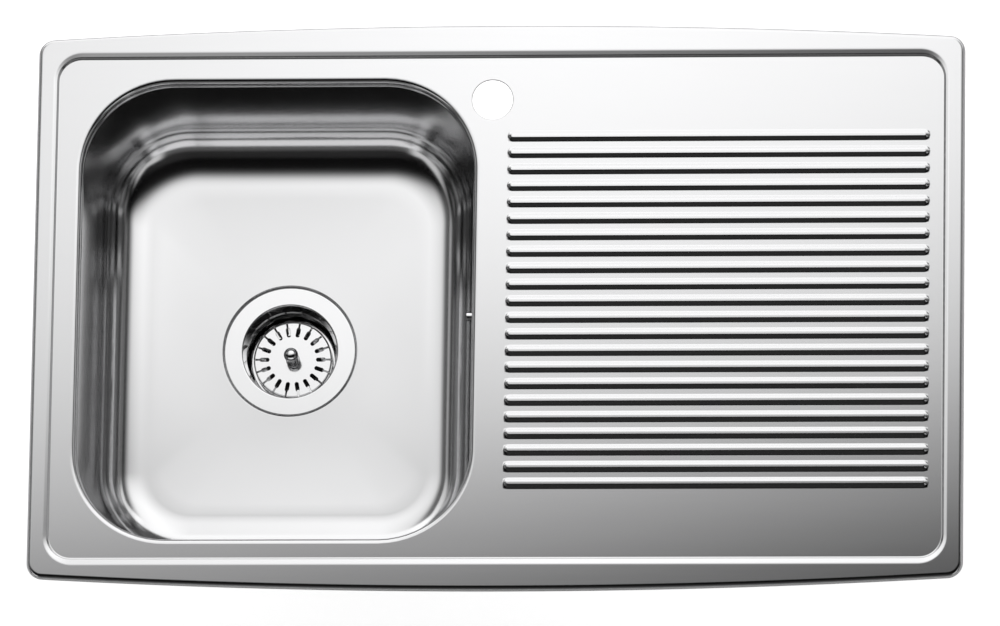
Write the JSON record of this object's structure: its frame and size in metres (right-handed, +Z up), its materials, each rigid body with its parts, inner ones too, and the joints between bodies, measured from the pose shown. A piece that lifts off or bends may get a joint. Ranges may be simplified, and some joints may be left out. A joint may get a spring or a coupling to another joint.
{
  "type": "kitchen sink with drainboard",
  "caption": "Stainless inset kitchen sink: a rounded bowl with a basket strainer waste and overflow, beside a ribbed drainer, with swinging clips under the rim.",
  "frame": {"origin": "middle of the plan on the worktop's surface, where the rim's lip and gasket stand", "axes": "+Z up out of the worktop, +X along the sink from the bowl to the drainer, +Y towards the back edge with the tap hole"},
  "size_m": [0.8, 0.4998, 0.2612],
  "materials": {
    "stainless_sheet": "satin",
    "stainless_bowl": "satin",
    "polished_stainless": "polished",
    "steel_fastener": "bright",
    "zinc_steel": "zinc plated",
    "moulded_plastic": "matt",
    "rubber_seal": "matt",
    "foam_gasket": "matt",
    "damping_pad": "matt"
  },
  "bodies": {
    "sink": {"deck_pressing": "stainless_sheet", "bowl": "stainless_bowl", "rim_gasket": "foam_gasket", "drainer_pad": "damping_pad", "bowl_pad_left": "damping_pad", "bowl_pad_front": "damping_pad", "waste_cup": "polished_stainless", "flange_seal": "rubber_seal", "body_seal": "rubber_seal", "waste_body": "moulded_plastic", "clamp_screw": "steel_fastener", "overflow_screw": "polished_stainless", "overflow_gasket": "rubber_seal", "overflow_housing": "moulded_plastic", "overflow_pipe": "moulded_plastic", "overflow_nut_upper": "moulded_plastic", "overflow_nut_lower": "moulded_plastic", "overflow_seal_upper": "rubber_seal", "overflow_seal_lower": "rubber_seal", "clip_brackets": "zinc_steel"},
    "plug": {"plug_hub": "moulded_plastic", "plug_seal": "rubber_seal"},
    "strainer": {"strainer_dish": "polished_stainless", "strainer_stem": "polished_stainless", "strainer_knob": "polished_stainless"},
    "clip_turn_1": {"clip_screw_1": "zinc_steel"},
    "clip_claw_1": {"clip_claw_1": "zinc_steel"},
    "clip_turn_2": {"clip_screw_2": "zinc_steel"},
    "clip_claw_2": {"clip_claw_2": "zinc_steel"},
    "clip_turn_3": {"clip_screw_3": "zinc_steel"},
    "clip_claw_3": {"clip_claw_3": "zinc_steel"},
    "clip_turn_4": {"clip_screw_4": "zinc_steel"},
    "clip_claw_4": {"clip_claw_4": "zinc_steel"},
    "clip_turn_5": {"clip_screw_5": "zinc_steel"},
    "clip_claw_5": {"clip_claw_5": "zinc_steel"},
    "clip_turn_6": {"clip_screw_6": "zinc_steel"},
    "clip_claw_6": {"clip_claw_6": "zinc_steel"}
  },
  "joints": [
    {"name": "plug_lift", "type": "slide", "parent": "sink", "child": "plug", "axis": [0, 0, 1], "range_m": [0, 0.24]},
    {"name": "strainer_turn", "type": "hinge", "parent": "plug", "child": "strainer", "pos_m": [-0.1913, -0.002, -0.1747], "axis": [0, 0, 1], "continuous": true},
    {"name": "clip_turn_1", "type": "hinge", "parent": "sink", "child": "clip_turn_1", "pos_m": [0.3767, 0, -0.03], "axis": [0, 0, 1], "range_deg": [0, 90]},
    {"name": "claw_climb_1", "type": "slide", "parent": "clip_turn_1", "child": "clip_claw_1", "axis": [0, 0, 1], "range_m": [0, 0.03]},
    {"name": "clip_turn_2", "type": "hinge", "parent": "sink", "child": "clip_turn_2", "pos_m": [-0.3767, 0, -0.03], "axis": [0, 0, 1], "range_deg": [0, 90]},
    {"name": "claw_climb_2", "type": "slide", "parent": "clip_turn_2", "child": "clip_claw_2", "axis": [0, 0, 1], "range_m": [0, 0.03]},
    {"name": "clip_turn_3", "type": "hinge", "parent": "sink", "child": "clip_turn_3", "pos_m": [-0.25, 0.216, -0.03], "axis": [0, 0, 1], "range_deg": [0, 90]},
    {"name": "claw_climb_3", "type": "slide", "parent": "clip_turn_3", "child": "clip_claw_3", "axis": [0, 0, 1], "range_m": [0, 0.03]},
    {"name": "clip_turn_4", "type": "hinge", "parent": "sink", "child": "clip_turn_4", "pos_m": [-0.25, -0.216, -0.03], "axis": [0, 0, 1], "range_deg": [0, 90]},
    {"name": "claw_climb_4", "type": "slide", "parent": "clip_turn_4", "child": "clip_claw_4", "axis": [0, 0, 1], "range_m": [0, 0.03]},
    {"name": "clip_turn_5", "type": "hinge", "parent": "sink", "child": "clip_turn_5", "pos_m": [0.19, 0.216, -0.03], "axis": [0, 0, 1], "range_deg": [0, 90]},
    {"name": "claw_climb_5", "type": "slide", "parent": "clip_turn_5", "child": "clip_claw_5", "axis": [0, 0, 1], "range_m": [0, 0.03]},
    {"name": "clip_turn_6", "type": "hinge", "parent": "sink", "child": "clip_turn_6", "pos_m": [0.19, -0.216, -0.03], "axis": [0, 0, 1], "range_deg": [0, 90]},
    {"name": "claw_climb_6", "type": "slide", "parent": "clip_turn_6", "child": "clip_claw_6", "axis": [0, 0, 1], "range_m": [0, 0.03]}
  ]
}
